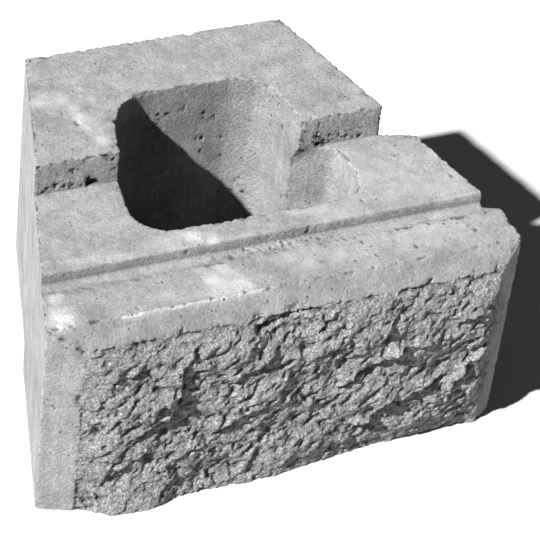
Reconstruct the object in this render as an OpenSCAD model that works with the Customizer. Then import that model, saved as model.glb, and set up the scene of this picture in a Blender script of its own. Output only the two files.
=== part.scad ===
// Retaining wall block with a split face, moulded in one piece of dry-cast concrete.
// It stands with its locking lug up, the split face towards -Y and the tail towards +Y.
// The origin is on the floor that it stands on, at the middle of the block's own box.

/* [Overall] */
// Width across the face, between the outer corners of the returns
face_w = 400; // [370:1:430]
// Depth from the arris of the split face to the back
body_d = 286; // [275:1:310]
// Height of one course, from the floor to the middle deck
course_h = 200; // [180:1:230]
// Width of the back with both flanks flush
tail_w = 253; // [240:1:285]

/* [Lug and decks] */
// Height of the lug above the middle deck
lug_h = 30; // [15:1:40]
// Distance from the arris to the face of the lug
lug_y = 152; // [145:1:165]
// Setback of each course, which places the rebate that takes the next lug
setback = 13; // [8:1:25]
// Drop from the middle deck to the front strip
riser_h = 10; // [5:1:16]
// Distance from the arris to the riser
riser_y = 61; // [52:1:68]
// Width of the channel at the foot of the riser
channel_w = 12; // [6:1:18]
// Depth of the channel below the front strip
channel_h = 2; // [1:0.5:4]

/* [Split face] */
// Depth of the bevels round the split face
bevel_d = 11; // [6:1:14]
// Height of the bevel along the top of the face
bevel_h = 20; // [10:1:30]
// Width of the bevelled return on the left
return_left_w = 28; // [15:1:40]
// Width of the bevelled return on the right
return_right_w = 18; // [12:1:40]
// Greatest reach of the broken face in front of its arris
split_proud = 18; // [12:1:25]
// Mean reach of the broken face in front of its arrises, between its ledges
split_mean = 7; // [4:0.5:10]
// Distance over which the broken face rises from its arrises
split_rise = 34; // [20:1:50]
// Height over which the profile of the lower edge fades into the face
foot_h = 20; // [10:1:40]
// Size of one facet of the broken face
facet_l = 9; // [8:1:18]

/* [Right flank] */
// Distance that the right flank of the tail is set in
shoulder_w = 28; // [15:1:36]
// Length over which the shoulder slopes back
shoulder_l = 8; // [4:1:14]
// Length of the straight cheek behind the right return
cheek_l = 39; // [25:1:42]

/* [Core] */
// Distance from the arris to the core
face_wall = 84; // [78:1:95]
// Thickness of the wall behind the core
back_wall = 67; // [50:1:75]
// Thickness of each side wall at the front of the core
side_wall = 80; // [70:1:90]
// Distance that each side of the core closes in towards the back
core_taper = 13; // [5:1:25]
// Distance that the core's right side steps in at the shoulder
core_step_w = 31; // [15:1:36]
// Radius of the front corners of the core
core_front_r = 30; // [15:1:34]
// Radius of the core's corner at the right shoulder
core_shoulder_r = 14; // [8:1:18]
// Radius of the core's back left corner
core_back_left_r = 52; // [20:1:60]
// Radius of the core's back right corner
core_back_right_r = 40; // [20:1:46]

/* [Hidden] */
$fn = 96;

// Distance that a cutting shape runs past the faces that it cuts
past = 5;
// Depth that the broken face is rooted in the body
split_root = 6;
// Distance that the broken face stands off the floor, the arrises and the arris plane
split_rim = 1.5;
// Distance over which a ledge dies out past its ends
ledge_fade = 9;
// Share of a facet that each inner grid point is moved by
facet_shuffle = 0.25;
// Ledges where the stone broke away in steps. Each is a line from its lower left to its upper right end,
// [left, bottom, right, top] as shares of the face's width and height, then its drop and its reach in mm.
ledges = [
    [0.203, 0.494, 0.232, 0.8, 10, 16],
    [0.226, 0.788, 0.271, 1.01, 7, 12],
    [0.384, 0.906, 0.508, 1.02, 9, 10],
    [0.356, 0.659, 0.444, 0.794, 6, 9],
    [0.062, 0.194, 0.169, 0.365, 7, 12],
    [0.107, 0.388, 0.203, 0.565, 7, 11],
    [0.189, 0.047, 0.226, 0.153, 7, 9],
    [0.316, 0.353, 0.37, 0.447, 6, 8],
    [0.616, 0.494, 0.689, 0.535, 7, 12],
    [0.684, 0.518, 0.768, 0.671, 9, 16],
    [0.763, 0.659, 0.91, 0.653, 7, 12],
    [0.678, 0.188, 0.757, 0.353, 10, 13],
    [0.766, 0.306, 0.864, 0.412, 6, 8],
    [0.879, 0.224, 0.955, 0.376, 8, 12],
    [0.941, 0.353, 0.989, 0.565, 7, 10]
];
// How strongly the drops of the ledges show
ledge_gain = 1.6;
// Long swells of the broken face, as [height, length, angle, phase]
swells = [
    [1.5, 105, 25, 40],
    [1.3, 74, -50, 130],
    [1, 52, 80, 250]
];
// Reach of the lower edge in front of the arrises, by its share of the face's width
foot = [
    [0, 0], [0.045, 9], [0.073, 14], [0.147, 15], [0.203, 13], [0.237, 8], [0.322, 10.5], [0.43, 10.5],
    [0.542, 7], [0.627, 5], [0.726, 0], [1, 0]
];

strip_z = course_h - riser_h;
total_h = course_h + lug_h;
rebate_y = lug_y + setback;
shoulder_y = lug_y - shoulder_l;
cheek_y = bevel_d + cheek_l;
core_back_y = body_d - back_wall;
core_half_w = half_w(face_wall) - side_wall;
split_x0 = -face_w / 2 + return_left_w + split_rim;
split_x1 = face_w / 2 - return_right_w - split_rim;
split_z0 = split_rim;
split_z1 = strip_z - bevel_h - split_rim;
cols = round((split_x1 - split_x0) / facet_l);
rows = round((split_z1 - split_z0) / facet_l);

// Half the width of the tapered body, before anything is set in
function half_w(y) = face_w / 2 - (face_w - tail_w) / 2 * (y - bevel_d) / (body_d - bevel_d);

// Half the width of the tapered core, before anything is set in
function core_half(y) = core_half_w - core_taper * (y - face_wall) / (core_back_y - face_wall);

function unit(v) = v / norm(v);
function corner_angle(a, p, b) = acos(unit(a - p) * unit(b - p));

// Outline with round corners; a radius of 0 leaves a corner sharp, as any inward corner needs
module rounded_outline(corners, radii) {
    n = len(corners);
    polygon([
        for (i = [0:n - 1])
            let (
                a = corners[(i + n - 1) % n],
                p = corners[i],
                b = corners[(i + 1) % n],
                run = radii[i] / tan(corner_angle(a, p, b) / 2)
            )
            each radii[i] > 0 ? [p + unit(a - p) * run, p + unit(b - p) * run] : [p]
    ]);
    for (i = [0:n - 1]) {
        if (radii[i] > 0) {
            a = corners[(i + n - 1) % n];
            p = corners[i];
            b = corners[(i + 1) % n];
            reach = radii[i] / sin(corner_angle(a, p, b) / 2);
            translate(p + unit(unit(a - p) + unit(b - p)) * reach)
                circle(r = radii[i]);
        }
    }
}

// Outline from above: bevelled returns, cheek and shoulder on the right, tapered flanks
module plan_outline() {
    taper_y = cheek_y + shoulder_l;
    polygon([
        [-face_w / 2 + return_left_w, 0],
        [face_w / 2 - return_right_w, 0],
        [face_w / 2, bevel_d],
        [face_w / 2, cheek_y],
        [half_w(taper_y), taper_y],
        [half_w(shoulder_y), shoulder_y],
        [half_w(lug_y) - shoulder_w, lug_y],
        [half_w(body_d) - shoulder_w, body_d],
        [-half_w(body_d), body_d],
        [-face_w / 2, bevel_d]
    ]);
}

// Section from front to back, as [y, z]: top bevel, front strip, middle deck, lug and rebate
module side_profile() {
    bevel_slope = bevel_h / bevel_d;
    polygon([
        [-past, 0],
        [rebate_y, 0],
        [rebate_y, lug_h],
        [body_d + past, lug_h],
        [body_d + past, total_h],
        [lug_y, total_h],
        [lug_y, course_h],
        [riser_y, course_h],
        [riser_y, strip_z],
        [bevel_d, strip_z],
        [-past, strip_z - (bevel_d + past) * bevel_slope]
    ]);
}

// Lays a [y, z] section across the whole width of the block
module across(width) {
    rotate([90, 0, 90])
        linear_extrude(height = width, center = true)
            children();
}

module moulded_body() {
    intersection() {
        linear_extrude(height = total_h)
            plan_outline();
        across(face_w + 2 * past)
            side_profile();
    }
}

// Open core, right through; its right side steps in beside the shoulder so that the wall stays thick there
module core() {
    knee_y = lug_y + shoulder_l;
    translate([0, 0, -past])
        linear_extrude(height = total_h + 2 * past)
            rounded_outline(
                [
                    [-core_half(face_wall), face_wall],
                    [core_half(face_wall), face_wall],
                    [core_half(shoulder_y), shoulder_y],
                    [core_half(knee_y) - core_step_w, knee_y],
                    [core_half(core_back_y) - core_step_w, core_back_y],
                    [-core_half(core_back_y), core_back_y]
                ],
                [core_front_r, core_front_r, core_shoulder_r, 0, core_back_right_r, core_back_left_r]
            );
}

// Shallow round-bottomed channel along the foot of the riser
module channel() {
    channel_r = (channel_w * channel_w / 4 + channel_h * channel_h) / (2 * channel_h);
    across(face_w + 2 * past)
        intersection() {
            translate([riser_y - channel_w / 2, strip_z - channel_h + channel_r])
                circle(r = channel_r);
            translate([riser_y - channel_w, strip_z - 2 * channel_h])
                square([channel_w, 2 * channel_h + riser_h / 2]);
        }
}

function sum(v) = v * [for (x = v) 1];
function share(v) = max(0, min(1, v));

// Long wave that runs across the face at an angle
function swell(x, z, w) = w[0] * sin(360 * (x * cos(w[2]) + z * sin(w[2])) / w[1] + w[3]);

// Step along a line: proud on its upper left, set back on its lower right, and fading both ways
function ledge(x, z, l) =
    let (
        a = [split_x0 + l[0] * (split_x1 - split_x0), l[1] * split_z1],
        b = [split_x0 + l[2] * (split_x1 - split_x0), l[3] * split_z1],
        u = unit(b - a),
        p = [x, z] - a,
        s = p.x * u.y - p.y * u.x,
        inside = share(p * u / ledge_fade + 0.5) * share((norm(b - a) - p * u) / ledge_fade + 0.5)
    )
    -inside * l[4] / 2 * s / norm([s, facet_l / 3]) * exp(-abs(s) / l[5]);

// Repeatable scatter from -1 to 1 for the grid point in column i and row j
function scatter(i, j, k) = sin(i * i * 71 + j * 197 + i * j * 53 + k * 131);

// 0 on the two side arrises and the top one, 1 further in
function rise(x, z) = sin(90 * share(min(x - split_x0, split_x1 - x, split_z1 - z) / split_rise));

// How far the broken face stands out, before the whole of it is brought to split_proud
function crag(x, z) =
    let (
        low = exp(-z * z / (foot_h * foot_h)),
        rolling = sum([for (w = swells) swell(x, z, w)]),
        stepped = ledge_gain * sum([for (l = ledges) ledge(x, z, l)]),
        edge = lookup((x - split_x0) / (split_x1 - split_x0), foot)
    )
    ((split_mean + stepped + rolling) * (1 - low) + (edge + rolling / 2) * low) * rise(x, z);

function shuffle(i, j, k) = i > 0 && i < cols && j > 0 && j < rows ? facet_shuffle * scatter(i, j, k) : 0;
function split_x(i, j) = split_x0 + (split_x1 - split_x0) * (i + shuffle(i, j, 1)) / cols;
function split_z(i, j) = split_z0 + (split_z1 - split_z0) * (j + shuffle(i, j, 2)) / rows;

// Broken face, worked out on a grid that fills the space between the arrises, and rooted in the body
module split_relief() {
    heights = [
        for (j = [0:rows])
            for (i = [0:cols])
                crag(split_x(i, j), split_z(i, j))
    ];
    reach = (split_proud - split_rim) / max(heights);
    line = cols + 1;
    grid = [
        for (j = [0:rows])
            for (i = [0:cols])
                [split_x(i, j), -split_rim - reach * max(0, heights[j * line + i]), split_z(i, j)]
    ];
    rim = concat(
        [for (i = [0:cols - 1]) i],
        [for (j = [0:rows - 1]) j * line + cols],
        [for (i = [cols:-1:1]) rows * line + i],
        [for (j = [rows:-1:1]) j * line]
    );
    n = len(rim);
    root = [for (k = rim) [grid[k].x, split_root, grid[k].z]];
    middle = [(split_x0 + split_x1) / 2, split_root, (split_z0 + split_z1) / 2];
    first = len(grid);
    front_faces = [
        for (j = [0:rows - 1])
            for (i = [0:cols - 1])
                let (a = j * line + i, b = a + 1, c = a + line + 1, d = a + line)
                each (i + j) % 2 == 0 ? [[a, c, b], [a, d, c]] : [[a, d, b], [b, d, c]]
    ];
    side_faces = [
        for (k = [0:n - 1])
            let (m = (k + 1) % n)
            each [[rim[k], rim[m], first + m], [rim[k], first + m, first + k]]
    ];
    back_faces = [for (k = [0:n - 1]) [first + k, first + (k + 1) % n, first + n]];
    polyhedron(points = concat(grid, root, [middle]), faces = concat(front_faces, side_faces, back_faces));
}

module block() {
    color("silver")
        translate([0, (split_proud - body_d) / 2, 0])
            difference() {
                union() {
                    moulded_body();
                    split_relief();
                }
                core();
                channel();
            }
}

block();
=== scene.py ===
import math

import bmesh
import bpy
import numpy as np
from mathutils import Matrix, Vector, kdtree, noise
from mathutils.bvhtree import BVHTree


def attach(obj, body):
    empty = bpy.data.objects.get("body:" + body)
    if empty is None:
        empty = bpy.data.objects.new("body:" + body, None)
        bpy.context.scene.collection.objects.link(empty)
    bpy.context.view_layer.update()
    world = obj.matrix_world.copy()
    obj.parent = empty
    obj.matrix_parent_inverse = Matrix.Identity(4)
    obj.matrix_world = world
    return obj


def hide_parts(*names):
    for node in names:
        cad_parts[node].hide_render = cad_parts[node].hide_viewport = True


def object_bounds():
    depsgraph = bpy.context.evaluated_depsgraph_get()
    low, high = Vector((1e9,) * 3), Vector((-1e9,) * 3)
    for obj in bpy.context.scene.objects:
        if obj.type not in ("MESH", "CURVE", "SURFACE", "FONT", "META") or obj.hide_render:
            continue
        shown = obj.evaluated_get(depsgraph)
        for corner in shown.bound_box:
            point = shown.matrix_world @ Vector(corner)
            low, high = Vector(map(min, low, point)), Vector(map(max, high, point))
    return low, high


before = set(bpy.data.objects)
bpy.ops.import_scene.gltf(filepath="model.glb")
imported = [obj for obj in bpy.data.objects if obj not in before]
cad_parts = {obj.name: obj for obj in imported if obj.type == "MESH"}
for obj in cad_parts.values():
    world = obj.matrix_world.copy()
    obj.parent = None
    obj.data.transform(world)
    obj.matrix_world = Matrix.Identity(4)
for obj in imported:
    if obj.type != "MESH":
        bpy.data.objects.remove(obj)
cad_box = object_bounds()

# The block.
# A retaining wall unit of dry-cast concrete, pressed in one piece in a steel mould around a tapered core.
# Two are cast face to face and broken apart, so the front is raw mortar and stone inside bevelled margins.
# All the other faces keep the tight, finely open grain that the mould leaves.
MM = 0.001
# The arrises round the broken face in mm: their y in the frame, then their places across and up the face
ARRIS_Y = -134
ARRIS_LEFT, ARRIS_RIGHT, ARRIS_TOP = -172, 182, 170
# The cut lies this many mm behind them, and edges that turn by more than so many radians count as sharp.
CUT_BEHIND = 0.05
SHARP_ANGLE = 0.3
# Cells of the even grid, and how near to an edge they are halved once and twice, in mm
GRID = 5
GRID_DEPTH = 7
EDGE_REACH = (6, 2.2)
rng = np.random.default_rng(41)


def to_frame(x, y, z):
    """A point in mm, with y measured from the arrises of the broken face, as a point of the frame."""
    return Vector((x * MM, (y + ARRIS_Y) * MM, z * MM))


# The body without its broken face: the solid is cut off just behind the arrises and closed with a flat front.
body = bmesh.new()
body.from_mesh(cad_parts["block"].data)
bmesh.ops.remove_doubles(body, verts=body.verts, dist=1e-6)
bmesh.ops.bisect_plane(
    body,
    geom=body.verts[:] + body.edges[:] + body.faces[:],
    plane_co=to_frame(0, CUT_BEHIND, 0),
    plane_no=(0, -1, 0),
    clear_outer=True,
)
bmesh.ops.holes_fill(body, edges=[e for e in body.edges if e.is_boundary], sides=0)
bmesh.ops.triangulate(body, faces=body.faces)
skin = BVHTree.FromBMesh(body)

# Points every millimetre along the sharp edges that stick out, the inside corners, and the arrises, where the
# moulded margins end and the break begins.
along = {"edge": [], "corner": [], "arris": []}
for e in body.edges:
    if len(e.link_faces) == 2 and e.calc_face_angle() > SHARP_ANGLE:
        a, b = e.verts[0].co, e.verts[1].co
        steps = max(1, round((b - a).length / MM))
        kind = "edge" if e.is_convex else "corner"
        if max(a.y, b.y) < (ARRIS_Y + 1) * MM:
            kind = "arris"
        along[kind] += [a.lerp(b, i / steps) for i in range(steps + 1)]
trees = {}
for kind, points in along.items():
    trees[kind] = kdtree.KDTree(len(points))
    for i, p in enumerate(points):
        trees[kind].insert(p, i)
    trees[kind].balance()

rough = bpy.data.meshes.new("rough")
body.to_mesh(rough)
carrier = bpy.data.objects.new("carrier", rough)
bpy.context.collection.objects.link(carrier)
grid = carrier.modifiers.new("grid", "REMESH")
grid.mode = "SHARP"
grid.octree_depth = GRID_DEPTH
grid.scale = (cad_box[1][0] - cad_box[0][0]) / (GRID * MM) / 2**GRID_DEPTH
grid.use_remove_disconnected = False
even = bpy.data.meshes.new_from_object(carrier.evaluated_get(bpy.context.evaluated_depsgraph_get()))
bpy.data.objects.remove(carrier)

# Blowholes, where air stayed against the mould: place, radius and depth in mm. The ones that show are placed:
# along the foot and the top of the lug's face, on the wall behind the core and in the channel. So many more
# are scattered.
SCATTERED = 240
blowholes = [
    (-160, 152, 228, 1.9, 1.5),
    (-149, 152, 229, 1.3, 1.0),
    (-158, 152, 221, 1.2, 0.9),
    (-122, 152, 227, 1.5, 1.2),
    (-104, 152, 228, 2.6, 2.2),
    (-98, 152, 223, 2.0, 1.6),
    (-96, 152, 213, 1.4, 1.1),
    (-145, 152, 207, 2.4, 2.0),
    (-152, 152, 205, 1.9, 1.5),
    (-155, 152, 202, 1.8, 1.4),
    (-138, 152, 204, 2.1, 1.7),
    (-131, 152, 204, 1.6, 1.3),
    (-123, 152, 202, 1.4, 1.1),
    (65, 152, 225, 1.4, 1.1),
    (66, 152, 220, 1.3, 1.0),
    (69, 152, 207, 2.0, 1.6),
    (72, 152, 210, 1.9, 1.5),
    (71, 152, 195, 1.7, 1.4),
    (80, 152, 201, 2.8, 2.3),
    (86, 152, 198, 3.0, 2.4),
    (81, 152, 208, 1.6, 1.3),
    (85, 152, 204, 2.1, 1.7),
    (90, 152, 209, 1.7, 1.3),
    (98, 152, 207, 1.6, 1.2),
    (105, 152, 205, 2.0, 1.6),
    (111, 152, 203, 1.4, 1.1),
    (117, 152, 203, 2.0, 1.6),
    (88, 152, 228, 1.3, 1.0),
    (97, 152, 229, 1.6, 1.3),
    (-34, 219, 204, 1.9, 1.4),
    (-26, 219, 203, 1.8, 1.3),
    (-32, 219, 198, 1.4, 1.0),
    (-11, 219, 208, 1.2, 0.9),
    (7, 219, 198, 1.9, 1.4),
    (7, 219, 193, 1.4, 1.0),
    (16, 219, 193, 1.2, 0.9),
    (7, 219, 171, 2.0, 1.5),
    (2, 219, 172, 1.5, 1.1),
    (7, 219, 158, 1.6, 1.2),
    (25, 219, 169, 1.7, 1.2),
    (26, 219, 149, 1.6, 1.2),
    (46, 219, 127, 1.6, 1.2),
    (41, 219, 122, 1.4, 1.0),
    (-47, 55, 188, 1.6, 1.2),
    (-33, 54, 188, 2.5, 1.9),
    (-21, 59, 189, 1.9, 1.5),
    (-16, 55, 188, 1.5, 1.1),
    (-8, 56, 188, 1.8, 1.4),
    (1, 57, 188, 1.6, 1.2),
    (7, 57, 188, 1.5, 1.1),
    (12, 57, 188, 1.7, 1.3),
    (18, 57, 188, 1.5, 1.1),
    (31, 57, 188, 1.8, 1.4),
    (42, 57, 188, 2.0, 1.6),
    (53, 57, 188, 1.6, 1.2),
    (33, 61, 193, 2.0, 1.5),
    (34, 61, 197, 1.7, 1.3),
    (95, 129, 200, 3.2, 1.0),
    (87, 78, 200, 1.8, 1.3),
]
lo, hi = cad_box
for _ in range(SCATTERED):
    x, y, z = skin.find_nearest(Vector(rng.uniform(lo, hi)))[0] / MM
    size = 1.0 + 1.6 * rng.random() ** 3
    if y - ARRIS_Y > 0.5 and z > 1:
        blowholes.append((x, y - ARRIS_Y, z, size, 0.7 * size))
holes = kdtree.KDTree(len(blowholes))
for i, (x, y, z, size, deep) in enumerate(blowholes):
    holes.insert(skin.find_nearest(to_frame(x, y, z))[0], i)
holes.balance()

# The even grid is made finer on the broken face, along the edges and round the blowholes.
bm = bmesh.new()
bm.from_mesh(even)
for turn, width in enumerate(EDGE_REACH):
    chosen = []
    for f in bm.faces:
        c = f.calc_center_median()
        if c.y < (ARRIS_Y + 1) * MM:
            chosen.append(f)
        elif min(tree.find(c)[2] for tree in trees.values()) < width * MM:
            chosen.append(f)
        elif c.z > 1 * MM:
            _, i, away = holes.find(c)
            if away < (blowholes[i][3] + 1.5 - turn) * MM:
                chosen.append(f)
    cut = list({e for f in chosen for e in f.edges})
    bmesh.ops.subdivide_edges(bm, edges=cut, cuts=1, use_grid_fill=True)
    for v in bm.verts:
        v.co = skin.find_nearest(v.co)[0]
bmesh.ops.triangulate(bm, faces=[f for f in bm.faces if len(f.verts) > 4])
mesh = bpy.data.meshes.new("block_concrete")
bm.to_mesh(mesh)
bm.free()

n = len(mesh.vertices)
P = np.empty(3 * n)
mesh.vertices.foreach_get("co", P)
P = P.reshape(n, 3) / MM
P[:, 1] -= ARRIS_Y
ends = np.empty(2 * len(mesh.edges), int)
mesh.edges.foreach_get("vertices", ends)
ends = ends.reshape(-1, 2)
count = np.bincount(ends.ravel(), minlength=n)


def neighbours(values):
    """The mean of the neighbours' values at every vertex."""
    columns = values.reshape(n, -1).T
    totals = [np.bincount(ends.ravel(), column[ends[:, ::-1].ravel()], n) for column in columns]
    return (np.array(totals) / count).T.reshape(values.shape)


def store():
    """Writes the points back to the mesh and gives the vertex normals."""
    mesh.vertices.foreach_set("co", ((P + (0, ARRIS_Y, 0)) * MM).ravel())
    mesh.update()
    normals = np.empty(3 * n)
    mesh.vertices.foreach_get("normal", normals)
    return normals.reshape(n, 3)


def grain(points, size, octaves=1, shift=0):
    """Perlin noise from about -1 to 1, with its widest waves size mm apart."""
    q = points / size + shift
    return np.array([noise.fractal(p, 1.0, 2.0, octaves) for p in map(Vector, q)])


edge, corner, arris = (
    np.array([trees[kind].find(to_frame(*p))[2] for p in P]) / MM for kind in ("edge", "corner", "arris")
)

# The edges left the mould crisp and were rounded by no more than a grain. The riser's upper edge, which the
# mould scraped as it came off, is the softest.
soft = 0.4 * np.exp(-((edge / 1.2) ** 2))
scraped = 0.5 * np.exp(-(np.hypot(P[:, 1] - 61, P[:, 2] - 200) ** 2) / 12)
for turn in range(6):
    P += (scraped + (soft if turn == 0 else 0))[:, None] * (neighbours(P) - P)
N = store()

# Along the edges and the arrises grains and small flakes are missing here and there.
flake = np.clip(grain(P, 12, 2, 7) - 0.26, 0, 1) * 5 * np.exp(-((edge / 2.2) ** 2)) * (1 - 2 * scraped)
notch = np.clip(grain(P, 3.4, 2, 3) - 0.08, 0, 1) * 3 * np.exp(-((edge / 1.3) ** 2)) * (1 - 2 * scraped)
near = edge < 6
P[near] -= (N * (flake + notch)[:, None])[near]
frayed = (arris < 4) & (P[:, 2] > 1)
P[frayed, 1] += np.clip(grain(P[frayed], 4, 2, 60), 0, 1) * 3 * np.exp(-((arris[frayed] / 1.6) ** 2))

# Spalls, where the break tore a little out of the margins: place, half width and half height in mm
SPALLS = [
    (1, 172, 12, 5),
    (118, 171, 5, 3),
    (-30, 171, 6, 3),
    (-92, 171, 7, 3),
    (178, 171, 5, 4),
    (-173, 120, 3, 9),
    (184, 120, 6, 36),
    (184, 60, 5, 40),
]
SPALL_DEEP = 2.6
torn_off = np.zeros(n)
for x, z, wide, high in SPALLS:
    off = np.hypot((P[:, 0] - x) / wide, (P[:, 2] - z) / high)
    torn_off = np.maximum(torn_off, np.clip(1.3 * (1 - off), 0, 1) * (P[:, 1] < 11))
torn_off *= 1 + 1.2 * grain(P, 4, 2, 71)
P[:, 1] += SPALL_DEEP * torn_off

# The core's left wall bellies in a little, where the core was drawn out: by so many mm at places along y.
BELLY_Y = [84, 112, 150, 158, 178, 196, 212]
BELLY = [0, 2, 2, 3, 6, 4, 0]
belly = np.interp(P[:, 1], BELLY_Y, BELLY)
belly *= np.clip((P[:, 2] - 60) / 100, 0, 1)
P[:, 0] += belly * np.clip((P[:, 0] + 104) / 18, 0, 1) * (P[:, 0] < -40)

# Above the deck the right lug's face runs on flush to a sharp corner at the core, this many mm in front of
# the solid's slanted wall.
FLUSH = 8
LUG_Y, DECK_Z = 152, 200
knee = np.clip((78.5 - P[:, 0]) / 16, 0, 1) * (P[:, 0] > 45) * (P[:, 1] > LUG_Y - 0.6)
behind = P[:, 1] - (LUG_Y + FLUSH * knee)
fading = np.clip(1 - np.maximum(behind, 0) / 25, 0, 1) * np.clip((P[:, 2] - DECK_Z + 14) / 14, 0, 1)
P[:, 1] -= FLUSH * knee * fading

# Mould faces: a very slight waviness, and the blowholes. A point that faces another way than the hole does
# counts as further off, so that a hole near an edge doesn't dent the next face.
OTHER_FACE = 9
plain = P[:, 2] > 1
waviness = 0.22 * grain(P, 55, 2, 11)
P[plain] += (N * waviness[:, None])[plain]
sunk = np.zeros(n)
for i, (x, y, z, size, deep) in enumerate(blowholes):
    spot, normal, _, _ = skin.find_nearest(to_frame(x, y, z))
    centre = np.array(spot) / MM - (0, ARRIS_Y, 0)
    away = np.linalg.norm(P - centre, axis=1) + OTHER_FACE * (N @ np.array(normal) < 0.5)
    ragged = size * (1 + 0.25 * np.sin(3 * np.arctan2(P[:, 2] - centre[2], P[:, 0] - centre[0]) + i))
    hole = np.clip(1 - away / ragged, 0, 1)
    sunk = np.maximum(sunk, deep * (1 - (1 - hole) ** 2.2))
# A three-cornered piece, upright on its left, came out of the lug's face just above the deck.
CORNER_HOLE_DEEP = 4.5
corner_x, corner_z = P[:, 0] + 119, P[:, 2] - DECK_Z - 0.5
torn_out = np.minimum(np.minimum(corner_x, corner_z), (12.5 - corner_x - 1.3 * corner_z) / 1.6)
torn_out = np.clip(torn_out / 0.9 + 0.4, 0, 1) * (np.abs(P[:, 1] - LUG_Y) < 0.8) * (P[:, 2] > DECK_Z + 0.3)
sunk = np.maximum(sunk, CORNER_HOLE_DEEP * torn_out)
P[plain] -= (N * sunk[:, None])[plain]

# The broken face. Each ledge is a line from its lower left to its upper right end, in mm across and up the
# face. The stone stands proud on the upper left of it, drops by so many mm, and comes back over its reach.
LEDGES = [
    (-99, 86, -90, 132, 9, 13),
    (-92, 134, -76, 172, 5, 8),
    (-26, 160, 16, 178, 15, 12),
    (-46, 112, -15, 135, 6, 9),
    (-150, 33, -118, 58, 6, 9),
    (-134, 66, -104, 92, 4.5, 7),
    (-148, 139, -126, 146, 5, 7),
    (-143, 162, -125, 174, 5, 6),
    (-105, 8, -92, 26, 7, 9),
    (-76, 49, -58, 54, 5, 7),
    (-60, 60, -41, 76, 6, 8),
    (-40, 75, -22, 80, 6, 8),
    (-31, 8, -22, 30, 6, 9),
    (-8, 4, 10, 15, 6, 8),
    (-76, 151, -62, 156, 5, 6),
    (-171, 166, -144, 172, 3, 6),
    (-174, 80, -156, 102, 4, 8),
    (50, 84, 72, 98, 9, 9),
    (70, 97, 96, 113, 9, 9),
    (98, 113, 150, 110, 4.5, 5),
    (68, 32, 96, 60, 10, 13),
    (99, 52, 134, 70, 6, 8),
    (146, 44, 160, 76, 8, 9),
    (160, 80, 180, 88, 6, 7),
    (149, 128, 184, 134, 5, 6),
    (78, 127, 86, 146, 5, 7),
    (21, 121, 38, 128, 4, 6),
    (102, 160, 112, 172, 4, 6),
    (20, 147, 38, 163, 5, 7),
    (134, 160, 166, 162, 4, 6),
]
# Stones torn out of the break: a line's two ends as above, the depth and half the width
GOUGES = [(-29, 160, 7, 175, 4.5, 7), (60, 92, 78, 102, 4.5, 4.5), (128, 61, 138, 68, 4, 3.5)]
# Long swells of the break: height and length in mm, angle and phase in degrees
SWELLS = [(1.5, 105, 25, 40), (1.3, 74, -50, 130), (1.0, 52, 80, 250)]
# Reach of the lower edge in front of the arrises, in mm, at places across the face
LOWER_X = [-172, -166, -156, -146, -120, -100, -88, -70, -58, -20, 0, 20, 50, 70, 85, 100, 140, 170, 182]
LOWER_Y = [0, 1, 9, 14, 15, 13, 8, 9, 10.5, 10.5, 9, 7, 5, 2.5, 0, -1.5, -2.5, -2, 0]
# How far the break stands in front of the arrises on the whole, and over how many mm it rises from them
PROUD = 7.0
RISE = 34
# The break stays between these two distances in front of the arrises, in mm.
DEEPEST, PROUDEST = -7, 17.5


def off_line(points, start, end):
    """Distance of each point from the line between two others."""
    start = np.array(start)
    run = np.array(end) - start
    share = np.clip((points - start) @ run / (run @ run), 0, 1)
    return np.linalg.norm(points - start - share[:, None] * run, axis=1)


def stones(q, size, slope, step, shift):
    """Broken stones about size mm across, each cleft flat at its own slope and height, with gaps between."""
    found = [noise.voronoi(p) for p in map(Vector, q / size + shift)]
    middle = np.array([f[1][0] for f in found])
    gap = np.array([f[0][1] - f[0][0] for f in found])
    away = q - (middle - shift) * size
    tip_x, tip_z, high = (np.sin(middle @ np.array(k)) for k in ((91, 13, 57), (37, 71, 17), (23, 51, 83)))
    slant = slope * (tip_x * away[:, 0] + tip_z * away[:, 2])
    return step * high + slant - 0.6 * step * np.exp(-((gap / 0.1) ** 2))


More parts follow.
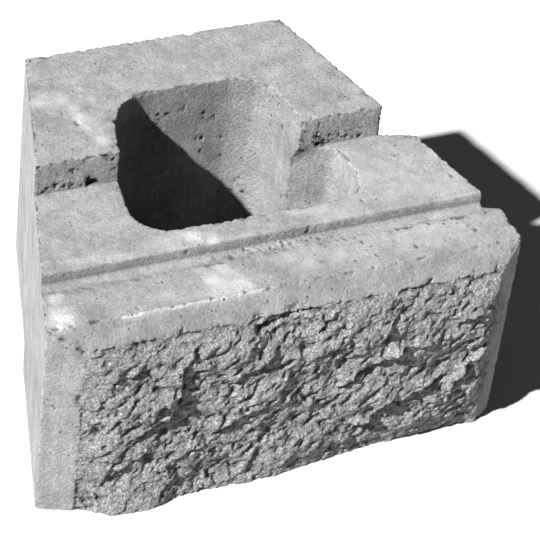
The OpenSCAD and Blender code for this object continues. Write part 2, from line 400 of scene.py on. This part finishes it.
def broken(x, z):
    """How far the broken face stands in front of its arrises, in mm."""
    q = np.stack([x, np.zeros_like(x), z], 1)
    rim = np.minimum(np.minimum(x - ARRIS_LEFT, ARRIS_RIGHT - x), ARRIS_TOP - z)
    slope = np.minimum(np.minimum(x - ARRIS_LEFT, 2.4 * (ARRIS_RIGHT - x)), ARRIS_TOP - z)
    rise = np.sin(np.clip(slope / RISE, 0, 1) * math.pi / 2)
    bend = 3.2 * grain(q, 17, 3, 21) + 1.5 * grain(q, 5, 2, 35)
    ledges = np.zeros_like(x)
    for x0, z0, x1, z1, drop, reach in LEDGES:
        length = math.hypot(x1 - x0, z1 - z0)
        ux, uz = (x1 - x0) / length, (z1 - z0) / length
        lengthwise = (x - x0) * ux + (z - z0) * uz
        across = (x - x0) * uz - (z - z0) * ux + bend
        inside = np.clip((lengthwise + 6) / 9, 0, 1) * np.clip((length - lengthwise + 6) / 9, 0, 1)
        ledges -= inside * 0.5 * drop * np.tanh(across) * np.exp(-np.abs(across) / reach)
    ledges *= np.clip(0.85 + 1.2 * grain(q, 15, 2, 91), 0.2, 1.5)
    gouged = np.zeros_like(x)
    for x0, z0, x1, z1, depth, half in GOUGES:
        off = off_line(q[:, (0, 2)], (x0, z0), (x1, z1)) + 0.6 * bend
        gouged = np.maximum(gouged, depth * np.clip(1.6 * (1 - off / half), 0, 1))
    swells = 0
    for high, length, angle, phase in SWELLS:
        slanting = x * math.cos(math.radians(angle)) + z * math.sin(math.radians(angle))
        swells = swells + high * np.sin(2 * math.pi * slanting / length + math.radians(phase))
    lumps = 2.4 * grain(q * (1, 1, 1.25), 18, 3, 9)
    crumbs = grain(q, 5, 2, 61) * (0.15 + 0.3 * np.abs(ledges))
    skewed = q + np.stack([2 * grain(q, 6, 2, 41), np.zeros_like(x), 2 * grain(q, 6, 2, 43)], 1)
    calm = np.clip(0.75 + 1.5 * grain(q, 28, 2, 88), 0.4, 1.2)
    cleft = (stones(skewed, 11, 0.16, 0.3, 2) + stones(skewed, 4.6, 0.18, 0.14, 5)) * calm
    sand = 0.6 * grain(q, 2.9, 2, 33)
    lengthways, crossways = 0.77 * x + 0.64 * z, 0.77 * z - 0.64 * x
    tilted = np.stack([lengthways / 1.8, np.zeros_like(x), crossways], 1)
    pockets = -2.3 * np.clip(4 * grain(tilted, 7, 2, 27) - 0.75, 0, 1)
    # The line torn along the arrises is deepest under the bevel.
    below = np.where(ARRIS_TOP - z < rim + 0.1, 3.2, 0.9)
    torn = below * np.clip(grain(q * (0.5, 1, 1), 9, 2, 50) + 0.35, 0, 1) * np.exp(-(((rim - 2) / 3) ** 2))
    general = PROUD + 1.3 * ledges + swells + lumps + pockets
    lower = np.interp(x, LOWER_X, LOWER_Y) + 0.5 * (swells + lumps)
    share = np.exp(-((np.clip(z, 0, 200) / 20) ** 2))
    fine = (cleft + sand + crumbs) * (0.5 + 0.5 * np.clip(rim / 5, 0, 1)) - torn - gouged
    return (general * (1 - share) + lower * share) * rise + fine * np.clip(rim, 0, 1)


front = (P[:, 1] < 1.2) & (P[:, 0] > ARRIS_LEFT) & (P[:, 0] < ARRIS_RIGHT) & (P[:, 2] < ARRIS_TOP)
under = ~front & (P[:, 2] < 1.2) & (P[:, 1] < 30) & (P[:, 0] > ARRIS_LEFT) & (P[:, 0] < ARRIS_RIGHT)
reach = np.zeros(n)
reach[front] = broken(P[front, 0], P[front, 2])
reach[under] = broken(P[under, 0], P[under, 2]) * (1 - P[under, 1] / 30)
P[:, 1] -= np.clip(reach, DEEPEST, PROUDEST)
P[:, 2] = np.maximum(P[:, 2], 0)
N = store()

block = bpy.data.objects.new("block_concrete", mesh)
bpy.context.collection.objects.link(block)
for p in mesh.polygons:
    p.use_smooth = True
raw = front | (torn_off > 0.05)
faces_front = np.array([raw[list(p.vertices)].mean() for p in mesh.polygons])
mesh.polygons.foreach_set("material_index", (faces_front > 0.5).astype(int))


def keep(name, values):
    """Stores one value for each vertex, for the material to read."""
    mesh.attributes.new(name, "FLOAT", "POINT").data.foreach_set("value", values.astype(np.float32))


# Painted shade in the hollows, darkening the colour where shade falls: the blowholes, the notches and flakes,
# the inside corners and the clefts between the broken stones, a broken line along the side edges of the tops,
# and two short cracks, each with its two ends, half its width in mm and its strength.
CRACKS = [
    (-185, 8, 187, -172, 0, 170, 0.9, 0.8),
    (189, 59, 190, 192, 61, 199, 1.5, 0.9),
]
cracked = np.zeros(n)
for x0, y0, z0, x1, y1, z1, half, strength in CRACKS:
    away = off_line(P, (x0, y0, z0), (x1, y1, z1))
    cracked = np.maximum(cracked, strength * np.exp(-((away / half) ** 2)))
# Painted shade of small chips: a broken dark line along the upper side edges of the tops.
rims = (np.abs(N[:, 0]) > 0.25) & (np.abs(P[:, 0]) > 100) & (P[:, 2] > 184)
edge_line_shade = np.exp(-((edge / 1.9) ** 2)) * np.clip(5 * grain(P, 3.2, 2, 19) + 0.7, 0.1, 1) * rims
cracked = np.maximum(cracked, edge_line_shade)
# On the broken face the clefts, where a point lies below the mean of its neighbours near and far, get the
# painted shade.
around = reach
cleft = np.zeros(n)
for rounds, deep in ((6, 1.4), (60, 6)):
    for _ in range(rounds):
        around = neighbours(around)
    cleft += np.clip((around - reach) / deep, 0, 1)
shade_in_hollows = sunk / 1.3 + (notch + flake) / 1.4 + 0.25 * np.exp(-((corner / 2) ** 2)) + cracked
keep("shade_in_hollows", np.clip(np.where(front, cleft, shade_in_hollows), 0, 1))

# Lime that the drying mix left on the top, as strokes: [x, y, x, y, z, half width, strength], in mm
LIME = [
    (-118, 234, -108, 204, 230, 5, 0.5),
    (-110, 206, -101, 168, 230, 6.5, 0.75),
    (-92, 222, -92, 219, 230, 4, 0.5),
    (-134, 228, -126, 232, 230, 7, 0.6),
    (-186, 16, -183, 24, 190, 10, 1.1),
    (-182, 43, -179, 45, 190, 5, 0.9),
    (-139, 10.4, -22, 10.4, 189, 1, 1.4),
    (60, 105, 150, 95, 200, 40, 0.3),
    (20, 36, 150, 36, 190, 20, 0.25),
    (-62, 17, -34, 17, 190, 6, 0.85),
    (-58, 30, -40, 27, 190, 9, 0.8),
    (-46, 42, -42, 38, 190, 8, 0.6),
    (-110, 24, -66, 17, 190, 6, 0.3),
    (-62, 74, -46, 66, 200, 6, 0.9),
    (-98, 72, -66, 76, 200, 5, 0.3),
    (28, 78, 54, 78, 200, 4, 0.5),
    (-168, 101, -160, 96, 200, 2, 0.6),
    (-165, 70, -112, 64, 200, 4, 0.4),
    (-120, 64, -12, 64, 200, 2, 0.3),
]
lime = np.zeros(n)
for x0, y0, x1, y1, z, half, strength in LIME:
    away = off_line(P[:, :2], (x0, y0), (x1, y1))
    spot = np.exp(-((away / half) ** 4) - ((P[:, 2] - z) / min(4, 1.6 * half)) ** 2)
    lime = np.maximum(lime, strength * spot)
keep("lime", lime)

# Places where the dry mix stayed open and crumbly: centre, reach along x, y and z in mm, and how open
OPEN_PLACES = [
    (78, 152, 206, 30, 3, 9, 1.1),
    (66, 152, 214, 7, 3, 16, 1.1),
    (110, 152, 216, 60, 3, 16, 0.5),
    (-168, 152, 203, 20, 2, 6, 1.0),
    (-136, 152, 204, 16, 2, 6, 0.8),
    (-95, 152, 219, 9, 2, 12, 0.7),
    (-150, 152, 214, 50, 2, 16, 0.45),
    (10, 57, 189, 70, 5, 3, 0.75),
    (-20, 219, 180, 50, 3, 45, 0.4),
    (40, 61, 195, 160, 2, 5, 0.4),
]
pitted = np.zeros(n)
for x, y, z, across, along_y, high, strength in OPEN_PLACES:
    away = (P - (x, y, z)) / (across, along_y, high)
    pitted = np.maximum(pitted, strength * np.exp(-(away**2).sum(1)))
keep("pitted", pitted)

# The core's walls are painted darker.
inside = (np.abs(P[:, 0]) < 86) & (P[:, 1] > 83) & (P[:, 1] < 220) & (N[:, 2] < 0.5)
inside &= (P[:, 1] > 160) | (N[:, 1] > -0.9)
keep("core_wall_darkening", inside)


def linear(colour):
    """An sRGB hex colour as the linear values that the shader takes."""
    parts = [int(colour[i : i + 2], 16) / 255 for i in (1, 3, 5)]
    return [c / 12.92 if c <= 0.04045 else ((c + 0.055) / 1.055) ** 2.4 for c in parts] + [1]


# A colour mix takes its factor at 0 and its two colours at 6 and 7, and gives its result at 2.
def add(tree, kind, inputs=(), **settings):
    """Adds a node with its settings, and sets or links its inputs."""
    made = tree.nodes.new(kind)
    for name, value in settings.items():
        setattr(made, name, value)
    for name, value in dict(inputs).items():
        if isinstance(value, bpy.types.NodeSocket):
            tree.links.new(value, made.inputs[name])
        else:
            made.inputs[name].default_value = value
    return made


# Dry-cast concrete against steel: a matt, tight skin of sand and cement with grains of about 1 mm and
# pinholes of 1 to 2 mm, mottled over a few centimetres where the mix was drier.
moulded = bpy.data.materials.new("dry_cast_concrete_moulded")
moulded.use_nodes = True
t = moulded.node_tree
shader = t.nodes["Principled BSDF"]
coordinates = add(t, "ShaderNodeTexCoord")
place = coordinates.outputs["Object"]
mottle = add(t, "ShaderNodeTexNoise", {"Vector": place, "Scale": 1000 / 26, "Detail": 5.0, "Roughness": 0.7})
sand = add(t, "ShaderNodeTexNoise", {"Vector": place, "Scale": 1000 / 2.4, "Detail": 4.0, "Roughness": 0.75})
pins = add(t, "ShaderNodeTexVoronoi", {"Vector": place, "Scale": 1000 / 5.5, "Randomness": 1.0})
where = add(t, "ShaderNodeTexNoise", {"Vector": place, "Scale": 1000 / 17, "Detail": 2.0})
pin_size = add(
    t,
    "ShaderNodeMapRange",
    {"Value": where.outputs["Fac"], "From Min": 0.48, "From Max": 0.72, "To Min": 0.02, "To Max": 0.24},
)
pin = add(
    t,
    "ShaderNodeMath",
    {0: pins.outputs["Distance"], 1: pin_size.outputs["Result"]},
    operation="LESS_THAN",
)
opened = add(t, "ShaderNodeAttribute", attribute_name="pitted")
pores = add(t, "ShaderNodeTexVoronoi", {"Vector": place, "Scale": 1000 / 3.6, "Randomness": 1.0})
chance = add(t, "ShaderNodeSeparateColor", {"Color": pores.outputs["Color"]})
bore = add(
    t, "ShaderNodeMath", {0: chance.outputs["Red"], 1: opened.outputs["Fac"]}, operation="MULTIPLY"
)
pore_size = add(t, "ShaderNodeMath", {0: bore.outputs["Value"], 1: 0.6}, operation="MULTIPLY")
pore = add(
    t,
    "ShaderNodeMath",
    {0: pores.outputs["Distance"], 1: pore_size.outputs["Value"]},
    operation="LESS_THAN",
)
open_air = add(
    t, "ShaderNodeMath", {0: pin.outputs["Value"], 1: pore.outputs["Value"]}, operation="MAXIMUM"
)
drawn = add(t, "ShaderNodeVectorMath", {0: place, 1: (1, 1, 0.05)}, operation="MULTIPLY")
drags = add(t, "ShaderNodeTexNoise", {"Vector": drawn.outputs["Vector"], "Scale": 1000 / 7, "Detail": 3.0})
patchy = add(
    t, "ShaderNodeMath", {0: drags.outputs["Fac"], 1: 0.5, 2: mottle.outputs["Fac"]}, operation="MULTIPLY_ADD"
)
dry = add(
    t,
    "ShaderNodeMapRange",
    {"Value": patchy.outputs["Value"], "From Min": 0.53, "From Max": 0.97, "To Min": 0.0, "To Max": 1.0},
)
tone = add(
    t,
    "ShaderNodeMix",
    {0: dry.outputs["Result"], 6: linear("#727271"), 7: linear("#929291")},
    data_type="RGBA",
)
# The tops were pressed smooth by the tamper, and the upright faces dragged along the mould as it came off, so
# their skin is rougher. The tops are painted a little darker and the upright faces paler: painted light and
# shade.
facing = add(t, "ShaderNodeSeparateXYZ", {"Vector": coordinates.outputs["Normal"]})
painted_facing_light = add(
    t,
    "ShaderNodeMapRange",
    {"Value": facing.outputs["Z"], "From Min": 0.0, "From Max": 0.45, "To Min": 1.15, "To Max": 0.94},
)
contrast = add(
    t, "ShaderNodeMath", {0: opened.outputs["Fac"], 1: 1.8, 2: 1.35}, operation="MULTIPLY_ADD"
)
off_mean = add(t, "ShaderNodeMath", {0: sand.outputs["Fac"], 1: 0.5}, operation="SUBTRACT")
speckle = add(
    t,
    "ShaderNodeMath",
    {0: off_mean.outputs["Value"], 1: contrast.outputs["Value"], 2: 1.0},
    operation="MULTIPLY_ADD",
)
core_wall_darkening = add(t, "ShaderNodeAttribute", attribute_name="core_wall_darkening")
facing_light_and_core_tone = add(
    t,
    "ShaderNodeMath",
    {0: core_wall_darkening.outputs["Fac"], 1: -0.16, 2: painted_facing_light.outputs["Result"]},
    operation="MULTIPLY_ADD",
)
lightness = add(
    t, "ShaderNodeMath", {0: speckle.outputs["Value"], 1: facing_light_and_core_tone.outputs["Value"]}, operation="MULTIPLY"
)
grained = add(
    t,
    "ShaderNodeVectorMath",
    {0: tone.outputs[2], "Scale": lightness.outputs["Value"]},
    operation="SCALE",
)
chalk = add(t, "ShaderNodeAttribute", attribute_name="lime")
smear = add(t, "ShaderNodeTexNoise", {"Vector": place, "Scale": 1000 / 12, "Detail": 4.0})
smeared = add(
    t,
    "ShaderNodeMapRange",
    {"Value": smear.outputs["Fac"], "From Min": 0.35, "From Max": 0.6, "To Min": 0.3, "To Max": 1.0},
)
limed = add(
    t, "ShaderNodeMath", {0: chalk.outputs["Fac"], 1: smeared.outputs["Result"]}, operation="MULTIPLY"
)
pale = add(
    t,
    "ShaderNodeMix",
    {0: limed.outputs["Value"], 6: grained.outputs["Vector"], 7: linear("#aeaeac")},
    data_type="RGBA",
)
# Painted shade: the colour is mixed towards near-black in the hollows.
shade_in_hollows = add(t, "ShaderNodeAttribute", attribute_name="shade_in_hollows")
shade_amount = add(t, "ShaderNodeMath", {0: shade_in_hollows.outputs["Fac"], 1: 0.85}, operation="MULTIPLY")
hollow_shaded = add(
    t,
    "ShaderNodeMix",
    {0: shade_amount.outputs["Value"], 6: pale.outputs[2], 7: linear("#3a3a39")},
    data_type="RGBA",
)
# Painted shade: the pinholes and open pores are mixed towards dark grey.
pinned = add(
    t,
    "ShaderNodeMix",
    {0: open_air.outputs["Value"], 6: hollow_shaded.outputs[2], 7: linear("#525251")},
    data_type="RGBA",
)
t.links.new(pinned.outputs[2], shader.inputs["Base Color"])
shader.inputs["Roughness"].default_value = 0.93
shader.inputs["Specular IOR Level"].default_value = 0.25
sunk_pin = add(t, "ShaderNodeMath", {0: open_air.outputs["Value"], 1: -0.8}, operation="MULTIPLY")
relief = add(
    t, "ShaderNodeMath", {0: sand.outputs["Fac"], 1: sunk_pin.outputs["Value"]}, operation="ADD"
)
dragged = add(
    t,
    "ShaderNodeMapRange",
    {"Value": facing.outputs["Z"], "From Min": 0.0, "From Max": 0.45, "To Min": 2.2 * MM, "To Max": 1.0 * MM},
)
bump = add(
    t, "ShaderNodeBump", {"Height": relief.outputs["Value"], "Distance": dragged.outputs["Result"]}
)
t.links.new(bump.outputs["Normal"], shader.inputs["Normal"])
mesh.materials.append(moulded)

# The same concrete broken open: a rough, matt mass of mortar with stones of 3 to 8 mm, each a little lighter
# or darker than the next, and a few fresh pale ones that catch the light.
cloven = bpy.data.materials.new("dry_cast_concrete_broken")
cloven.use_nodes = True
t = cloven.node_tree
shader = t.nodes["Principled BSDF"]
place = add(t, "ShaderNodeTexCoord").outputs["Object"]
pebbles = add(t, "ShaderNodeTexVoronoi", {"Vector": place, "Scale": 1000 / 6.5, "Randomness": 1.0})
pick = add(t, "ShaderNodeSeparateColor", {"Color": pebbles.outputs["Color"]})
grit = add(t, "ShaderNodeTexNoise", {"Vector": place, "Scale": 1000 / 2.2, "Detail": 4.0, "Roughness": 0.7})
grains = add(
    t,
    "ShaderNodeTexVoronoi",
    {"Vector": place, "Scale": 1000 / 3, "Randomness": 1.0},
    feature="DISTANCE_TO_EDGE",
)
# Painted shade in the narrow gaps between the grains.
gaps = add(
    t,
    "ShaderNodeMapRange",
    {"Value": grains.outputs["Distance"], "From Min": 0.02, "From Max": 0.16, "To Min": 0.62, "To Max": 1.03},
)
stone = add(
    t,
    "ShaderNodeMapRange",
    {"Value": pick.outputs["Red"], "From Min": 0.0, "From Max": 1.0, "To Min": 0.8, "To Max": 1.12},
)
# The grit noise also makes the bump, so this is grain tone and painted shade: the colour is darker where the
# fine relief is low.
gritty = add(
    t,
    "ShaderNodeMapRange",
    {"Value": grit.outputs["Fac"], "From Min": 0.36, "From Max": 0.64, "To Min": 0.6, "To Max": 1.36},
)
between = add(
    t, "ShaderNodeMath", {0: gritty.outputs["Result"], 1: gaps.outputs["Result"]}, operation="MULTIPLY"
)
varied = add(
    t, "ShaderNodeMath", {0: stone.outputs["Result"], 1: between.outputs["Value"]}, operation="MULTIPLY"
)
mortar = add(
    t,
    "ShaderNodeVectorMath",
    {0: linear("#9a9a99")[:3], "Scale": varied.outputs["Value"]},
    operation="SCALE",
)
fresh = add(t, "ShaderNodeMath", {0: pick.outputs["Green"], 1: 0.955}, operation="GREATER_THAN")
ragged = add(t, "ShaderNodeMath", {0: grit.outputs["Fac"], 1: 0.4}, operation="MULTIPLY")
core_of = add(
    t, "ShaderNodeMath", {0: pebbles.outputs["Distance"], 1: ragged.outputs["Value"]}, operation="LESS_THAN"
)
glint = add(
    t, "ShaderNodeMath", {0: fresh.outputs["Value"], 1: core_of.outputs["Value"]}, operation="MULTIPLY"
)
mixed = add(
    t,
    "ShaderNodeMix",
    {0: glint.outputs["Value"], 6: mortar.outputs["Vector"], 7: linear("#b9b9b7")},
    data_type="RGBA",
)
# Painted shade: the colour is mixed towards near-black in the clefts and hollows.
shade_in_hollows = add(t, "ShaderNodeAttribute", attribute_name="shade_in_hollows")
shade_amount = add(t, "ShaderNodeMath", {0: shade_in_hollows.outputs["Fac"], 1: 0.7}, operation="MULTIPLY")
broken_hollow_shaded = add(
    t,
    "ShaderNodeMix",
    {0: shade_amount.outputs["Value"], 6: mixed.outputs[2], 7: linear("#333332")},
    data_type="RGBA",
)
t.links.new(broken_hollow_shaded.outputs[2], shader.inputs["Base Color"])
shader.inputs["Roughness"].default_value = 0.9
shader.inputs["Specular IOR Level"].default_value = 0.3
bump = add(
    t, "ShaderNodeBump", {"Height": grit.outputs["Fac"], "Distance": 3.8 * MM, "Strength": 1.0}
)
t.links.new(bump.outputs["Normal"], shader.inputs["Normal"])
mesh.materials.append(cloven)

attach(block, "root")
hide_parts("block")

# The floor.
# A plain pale studio floor, level with the block's underside, and so many metres wide to each side that it
# fills the picture.
FLOOR_HALF = 60
wide = bpy.data.meshes.new("floor")
corners = [(x * FLOOR_HALF, y * FLOOR_HALF, 0) for x, y in ((-1, -1), (1, -1), (1, 1), (-1, 1))]
wide.from_pydata(corners, [], [(0, 1, 2, 3)])
floor = bpy.data.objects.new("floor", wide)
bpy.context.collection.objects.link(floor)
painted = bpy.data.materials.new("painted_studio_floor")
painted.use_nodes = True
painted.node_tree.nodes["Principled BSDF"].inputs["Base Color"].default_value = linear("#b2b2b2")
painted.node_tree.nodes["Principled BSDF"].inputs["Roughness"].default_value = 1.0
painted.node_tree.nodes["Principled BSDF"].inputs["Specular IOR Level"].default_value = 0.0
wide.materials.append(painted)

# The light.
# One hard key light comes from the left, 42 degrees up and 18 degrees in front of the block's left side, so
# that it grazes the broken face. A dim white room fills the shadows.
TOWARDS_KEY = (-0.712, -0.231, 0.663)
key_data = bpy.data.lights.new("key", "SUN")
key_data.energy = 11.2
key_data.angle = math.radians(1.5)
key = bpy.data.objects.new("key", key_data)
key.rotation_euler = Vector(TOWARDS_KEY).to_track_quat("Z", "Y").to_euler()
bpy.context.collection.objects.link(key)
room = bpy.data.worlds.new("room")
room.use_nodes = True
room.node_tree.nodes["Background"].inputs["Color"].default_value = (1, 1, 1, 1)
room.node_tree.nodes["Background"].inputs["Strength"].default_value = 0.07
bpy.context.scene.world = room
bpy.context.scene.view_settings.view_transform = "Standard"

# The camera.
# It stands 2 m away, looks down at the left front corner and is rolled a little, as the photograph was taken.
# The focal length and the picture's width are in pixels, the sensor and the target in mm, the distance in m.
FOCAL, PICTURE, SENSOR = 2687, 540, 36
DISTANCE = 2.035
TARGET = (-26.3, 0, 218.7)
azimuth, elevation, roll = (math.radians(v) for v in (-27.21, 40.57, 7.53))
back = Vector(
    (
        math.sin(azimuth) * math.cos(elevation),
        -math.cos(azimuth) * math.cos(elevation),
        math.sin(elevation),
    )
)
sideways = Vector((math.cos(azimuth), math.sin(azimuth), 0))
upright = back.cross(sideways)
right = sideways * math.cos(roll) + upright * math.sin(roll)
up = upright * math.cos(roll) - sideways * math.sin(roll)
camera_data = bpy.data.cameras.new("camera")
camera_data.sensor_width = SENSOR
camera_data.lens = FOCAL * SENSOR / PICTURE
camera = bpy.data.objects.new("camera", camera_data)
turned = Matrix((right, up, back)).transposed().to_4x4()
camera.matrix_world = Matrix.Translation(to_frame(*TARGET) + back * DISTANCE) @ turned
bpy.context.collection.objects.link(camera)
bpy.context.scene.camera = camera
